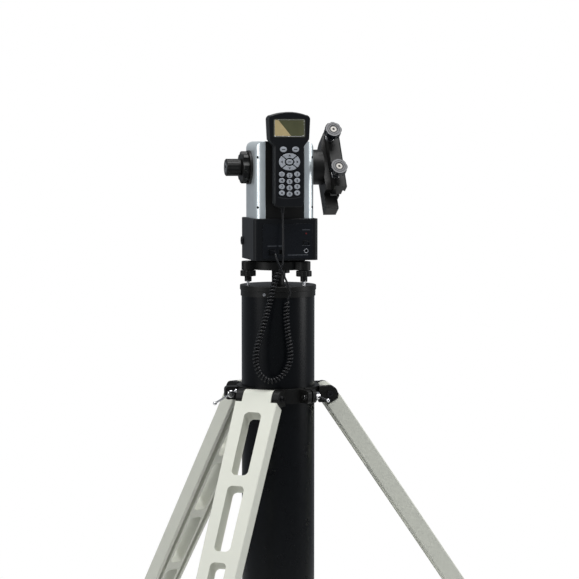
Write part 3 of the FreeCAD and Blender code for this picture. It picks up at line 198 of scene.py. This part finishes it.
def repaint(name, surface, test):
    """Another surface on the faces of one node whose middle and outward direction pass the test."""
    mesh = frame["nodes"][name].data
    mesh.materials.append(surface)
    index = len(mesh.materials) - 1
    for face in mesh.polygons:
        if test(face.center / MM, face.normal):
            face.material_index = index


def knob_faces():
    """The saddle's knobs: grey faces, a bright threaded insert, and a bright washer behind."""
    for name in ("upper", "lower"):
        node = frame["nodes"][f"saddle_knob_{name}"]
        turn = next(j for j in frame["joints"] if j["name"] == f"saddle_knob_{name}_turn")
        origin, along = Vector(turn["pos_m"]) / MM, Vector(turn["axis"]).normalized()
        face = min((v.co / MM - origin).dot(along) for v in node.data.vertices)

        def place(point, origin=origin, along=along, face=face):
            """How deep behind the knob's face a point is, and how far from its axis."""
            offset = point - origin
            deep = offset.dot(along)
            return deep - face, (offset - along * deep).length

        def between(depths, radii, flat, place=place, along=along):
            def test(middle, normal):
                deep, out = place(middle)
                inside = depths[0] < deep < depths[1] and radii[0] < out < radii[1]
                return inside and (not flat or abs(normal.dot(along)) > 0.9)
            return test

        repaint(node.name, KNOB_FACE, between((-1, 0.35), (7, 99), True))
        repaint(node.name, INSERT, between((-1, 1.2), (2.7, 6.2), True))
        repaint(node.name, MATERIALS["bright_steel"], between((14.2, 99), (6.3, 9.3), False))


def repaints():
    """Bare metal and a lamp on nodes that are otherwise of one finish."""
    bright, dark = MATERIALS["bright_steel"], MATERIALS["dark_steel"]
    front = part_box("panel_fittings")[0][1] / MM

    def jack_ring(c, n):
        outside = math.hypot(c.x - JACK_X, c.z - JACK_Z) > JACK_BORE
        return outside and c.x > 34 and c.z < PANEL_FITTINGS_TOP and c.y < front + 1

    def thread_mouth(c, n):
        return c.x < -100 and math.hypot(c.y, c.z - ALTITUDE_Z) < 9

    repaint("panel_fittings", bright, jack_ring)
    repaint("panel_fittings", RED_LAMP, lambda c, n: c.z > 1100)
    repaint("leg_hinge_pins", dark, lambda c, n: abs(n.z) < 0.9)
    for place in ("left", "right", "rear"):
        repaint(f"levelling_screw_{place}", bright, lambda c, n: c.z < LEVEL_TIP_TOP)
    for side in ("front", "right", "left"):
        repaint(f"foot_{side}", dark, lambda c, n: c.z > FOOT_STEM_BASE)
    repaint("pier_bolts", bright, lambda c, n: True)
    repaint("counterweight_hub", bright, thread_mouth)


# ---- helpers ----
def finished(obj, name, body, surface):
    """Names a new piece, gives it its surface, and makes it ride on its body."""
    obj.name = name
    obj.data.materials.clear()
    obj.data.materials.append(surface)
    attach(obj, body)


def mesh_object(name, verts, faces, body, surface):
    mesh = bpy.data.meshes.new(name)
    mesh.from_pydata([Vector(v) * MM for v in verts], [], faces)
    obj = bpy.data.objects.new(name, mesh)
    scene.collection.objects.link(obj)
    finished(obj, name, body, surface)


# ---- cord ----
def spline_points(points):
    """The points of the smooth route that a list of control points, in millimetres, gives."""
    curve = bpy.data.curves.new("route", "CURVE")
    curve.dimensions = "3D"
    spline = curve.splines.new("NURBS")
    spline.points.add(len(points) - 1)
    for point, at in zip(spline.points, points):
        point.co = (at[0] * MM, at[1] * MM, at[2] * MM, 1)
    spline.order_u = 3
    spline.use_endpoint_u = True
    spline.resolution_u = 16
    route = bpy.data.objects.new("route", curve)
    scene.collection.objects.link(route)
    mesh = bpy.data.meshes.new_from_object(route)
    found = [v.co.copy() for v in mesh.vertices]
    bpy.data.meshes.remove(mesh)
    bpy.data.objects.remove(route)
    return found


def coiled_path(route, first, last):
    """Follows the route, wound round it between the distances first and last."""
    travelled, angle, made = 0.0, 0.0, []
    direction = (route[1] - route[0]).normalized()
    side = direction.cross(Vector((0, 1, 0))).normalized()
    step = COIL_PITCH / COIL_POINTS
    radius = (COIL_D - CORD_D) / 2
    for here, there in zip(route, route[1:]):
        run = (there - here).length
        if run < 1e-9:
            continue
        direction = (there - here) / run
        side = (side - direction * side.dot(direction)).normalized()
        other = direction.cross(side)
        count = max(1, round(run / step)) if first < travelled < last else 1
        for i in range(count):
            at = here + direction * (run * i / count)
            s = travelled + run * i / count
            swell = min(1.0, max(0.0, min(s - first, last - s) / (COIL_PITCH * COIL_END)))
            swell = swell * swell * (3 - 2 * swell)
            angle += 2 * math.pi * run / count / COIL_PITCH * max(swell, END_WINDING)
            made.append(at + (side * math.cos(angle) + other * math.sin(angle)) * radius * swell)
        travelled += run
    made.append(route[-1])
    return made


def nearest_distance(route, distances, point):
    """How far along the route its point nearest to the given one is."""
    at = Vector(point) * MM
    return min(zip(route, distances), key=lambda pair: (pair[0] - at).length)[1]


def cord():
    """The handset's curly cord: a straight lead, the coil and a lead back up to the plug."""
    route = spline_points(LEAD_DOWN + COIL + LEAD_UP)
    distances, total = [0.0], 0.0
    for here, there in zip(route, route[1:]):
        total += (there - here).length
        distances.append(total)
    half = len(route) // 2
    start = nearest_distance(route[:half], distances[:half], COIL[0])
    end = nearest_distance(route[half:], distances[half:], COIL[-1])
    points = coiled_path(route, start, end)
    curve = bpy.data.curves.new("handset_cord", "CURVE")
    curve.dimensions = "3D"
    curve.bevel_depth = CORD_D / 2
    curve.bevel_resolution = 3
    curve.use_fill_caps = True
    spline = curve.splines.new("POLY")
    spline.points.add(len(points) - 1)
    for point, at in zip(spline.points, points):
        point.co = (*at, 1)
    spline.use_smooth = True
    obj = bpy.data.objects.new("handset_cord", curve)
    scene.collection.objects.link(obj)
    finished(obj, "handset_cord", "head", MATERIALS["cord_black"])
    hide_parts("cord_coil", "cord_lead_handset", "cord_lead_plug")


# ---- handset legends ----
NUMERAL_SIZE, DOT_R = 7.6, 1.8
RULE_X, RULE_Z = 3.4, 0.8  # half the width and height of a key's plain rule
ARROW_CORNERS = ((-2.8, -1.6), (2.8, -1.6), (0, 2.3))
LEGEND_PROUD, LEGEND_THICK = 0.06, 0.16


def numeral(text, x, z, body, name):
    curve = bpy.data.curves.new(name, "FONT")
    curve.body = text
    curve.size = NUMERAL_SIZE * MM
    curve.align_x = "CENTER"
    curve.align_y = "CENTER"
    curve.extrude = 0.06 * MM
    curve.offset = 0.16 * MM
    obj = bpy.data.objects.new(name, curve)
    obj.location = Vector((x, HAND_Y - KEY_RISE, z)) * MM
    obj.rotation_euler = (math.pi / 2, 0, 0)
    scene.collection.objects.link(obj)
    bpy.ops.object.select_all(action="DESELECT")
    obj.select_set(True)
    bpy.context.view_layer.objects.active = obj
    bpy.ops.object.convert(target="MESH")
    obj = bpy.context.view_layer.objects.active
    finished(obj, name, body, LEGEND)


def legends():
    for row, texts in enumerate(NUMBERS):
        for column, text in enumerate(texts):
            if text:
                drop = NUMBER_DROP if column == 1 else 0
                x = (column - 1) * NUMBER_PITCH_X
                z = NUMBER_TOP - row * NUMBER_PITCH_Z - drop
                numeral(text, x, z, "number_keys_body", f"numeral_{text}")
    z = NUMBER_TOP - 3 * NUMBER_PITCH_Z
    for name, x in (("dot_left", -NUMBER_PITCH_X), ("dot_right", NUMBER_PITCH_X)):
        turns = [math.pi * i / 6 for i in range(12)]
        legend(name, [(x + DOT_R * math.cos(a), z + DOT_R * math.sin(a)) for a in turns], "number_keys_body")
    for key in ("key_menu", "key_back", "key_enter"):
        low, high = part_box(key)
        x, z = (low[0] + high[0]) / 2 / MM, (low[2] + high[2]) / 2 / MM
        legend(f"legend_{key}", oblong(x - RULE_X, x + RULE_X, z - RULE_Z, z + RULE_Z), f"{key}_body")
    for name, (x, dz, turn) in ARROWS.items():
        a = math.radians(turn)
        corners = []
        for u, v in ARROW_CORNERS:
            z = ARROW_RING_Z + dz + u * math.sin(a) + v * math.cos(a)
            corners.append((x + u * math.cos(a) - v * math.sin(a), z))
        legend(f"arrow_{name}", corners, f"key_{name}_body")


def legend(name, outline, body):
    """A printed mark on a key's face."""
    plate(name, outline, HAND_Y - KEY_RISE - LEGEND_PROUD, LEGEND_THICK, body, LEGEND)


def oblong(x0, x1, z0, z1):
    return [(x0, z0), (x1, z0), (x1, z1), (x0, z1)]


def plate(name, outline, y, thick, body, surface):
    """A thin flat plate facing -Y, from its outline in x and z."""
    count = len(outline)
    front = [(x, y, z) for x, z in outline]
    back = [(x, y + thick, z) for x, z in outline]
    faces = [tuple(range(count)), tuple(range(2 * count - 1, count - 1, -1))]
    for i in range(count):
        j = (i + 1) % count
        faces.append((i, i + count, j + count, j))
    mesh_object(name, front + back, faces, body, surface)


def display():
    """On the window: its own dark olive tint, a tan half that is a painted reflection, and thin bright strips
    round them that are painted reflections along the window's edges.
    """
    low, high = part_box("handset_window")
    x0, x1, z0, z1 = low[0] / MM + 2.6, high[0] / MM - 2.6, low[2] / MM + 2.4, high[2] / MM - 2.4
    y = low[1] / MM
    width = x1 - x0
    top, base = x0 + width * 0.12, x0 + width * 0.56
    # The tan half is a painted reflection on the window, not its own colour.
    tan = [(x0, z0), (base, z0), (top, z1), (x0, z1)]
    plate("display_reflection", tan, y - 0.05, 0.04, "head", DISPLAY_REFLECTION)
    dark = [(base, z0), (x1, z0), (x1, z1), (top, z1)]
    plate("display_dark", dark, y - 0.05, 0.04, "head", DISPLAY_DARK)
    # Thin bright strips round the window: painted reflections along its edges.
    for side, a, b, c, d in (
        ("top", x0 - 0.9, x1 + 0.9, z1 + 0.2, z1 + 0.8),
        ("base", x0 - 0.9, x1 + 0.9, z0 - 1.2, z0 - 0.2),
        ("left", x0 - 0.9, x0 - 0.3, z0, z1),
        ("right", x1 + 0.3, x1 + 0.9, z0, z1),
    ):
        name = f"window_reflection_strip_{side}"
        plate(name, oblong(a, b, c, d), y - 0.07, 0.06, "head", MATERIALS["bright_steel"])


def battery_seam():
    """The curved line on the handset's face above its battery lid."""
    across, rise, middle, half, count = 24.0, 3.2, 1181.5, 0.35, 24
    upper, lower = [], []
    for i in range(count + 1):
        x = -across + 2 * across * i / count
        z = middle - rise * (1 - (x / across) ** 2)
        upper.append((x, HAND_Y - 0.05, z + half))
        lower.append((x, HAND_Y - 0.05, z - half))
    verts, faces = [], []
    for i in range(count):
        verts += [lower[i], lower[i + 1], upper[i + 1], upper[i]]
        faces.append((4 * i, 4 * i + 1, 4 * i + 2, 4 * i + 3))
    mesh_object("battery_seam", verts, faces, "head", SEAM)


def panel_marks():
    """Short pale rules beside the sockets and the switch, where a real panel has its labels."""
    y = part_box("port_panel")[0][1] / MM
    for i, (x0, x1, z) in enumerate(PANEL_MARKS):
        rule = oblong(x0, x1, z, z + 0.9)
        plate(f"panel_mark_{i}", rule, y - 0.05, 0.06, "head", PANEL_MARK)


# ---- light and camera ----
def light(name, at, towards, size, power):
    lamp = bpy.data.lights.new(name, "AREA")
    lamp.shape = "RECTANGLE"
    lamp.size, lamp.size_y = size
    lamp.energy = power
    obj = bpy.data.objects.new(name, lamp)
    obj.location = at
    obj.rotation_euler = (Vector(towards) - Vector(at)).to_track_quat("-Z", "Y").to_euler()
    scene.collection.objects.link(obj)


def studio():
    """A white room that looks pure white to the camera and is a little dimmer to the object."""
    world = bpy.data.worlds.new("studio")
    scene.world = world
    world.use_nodes = True
    tree = world.node_tree
    lit = tree.nodes["Background"]
    lit.inputs["Color"].default_value = (0.88, 0.93, 1.0, 1)
    lit.inputs["Strength"].default_value = 0.26
    seen = tree.nodes.new("ShaderNodeBackground")
    seen.inputs["Color"].default_value = (1, 1, 1, 1)
    rays = tree.nodes.new("ShaderNodeLightPath")
    mix = tree.nodes.new("ShaderNodeMixShader")
    tree.links.new(rays.outputs["Is Camera Ray"], mix.inputs["Fac"])
    tree.links.new(lit.outputs["Background"], mix.inputs[1])
    tree.links.new(seen.outputs["Background"], mix.inputs[2])
    tree.links.new(mix.outputs["Shader"], tree.nodes["World Output"].inputs["Surface"])
    middle = (0, 0, 1.1)
    light("key_left", (-3.0, -0.9, 1.9), middle, (1.4, 2.0), 34)
    light("fill_right", (3.0, -1.0, 1.7), middle, (1.2, 2.2), 34)
    light("top", (0, -0.4, 3.2), middle, (2.0, 2.0), 84)


def floor():
    """A plain pale disc to stand on."""
    at = (0, 0, -0.0005)
    bpy.ops.mesh.primitive_circle_add(vertices=128, radius=1.55, fill_type="NGON", location=at)
    disc = bpy.context.active_object
    disc.name = "floor"
    disc.data.materials.append(FLOOR)


def camera():
    data = bpy.data.cameras.new("camera")
    data.sensor_width = 36.0
    data.lens = LENS
    data.clip_end = 50
    obj = bpy.data.objects.new("camera", data)
    at = CAMERA_SIDE.normalized() * CAMERA_DISTANCE
    obj.location = (at.x, at.y, CAMERA_HEIGHT)
    obj.rotation_euler = (CAMERA_TARGET - obj.location).to_track_quat("-Z", "Y").to_euler()
    scene.collection.objects.link(obj)
    scene.camera = obj
    scene.view_settings.view_transform = "Standard"


finish_nodes()
cord()
repaints()
knob_faces()
display()
panel_marks()
battery_seam()
legends()
floor()
studio()
camera()
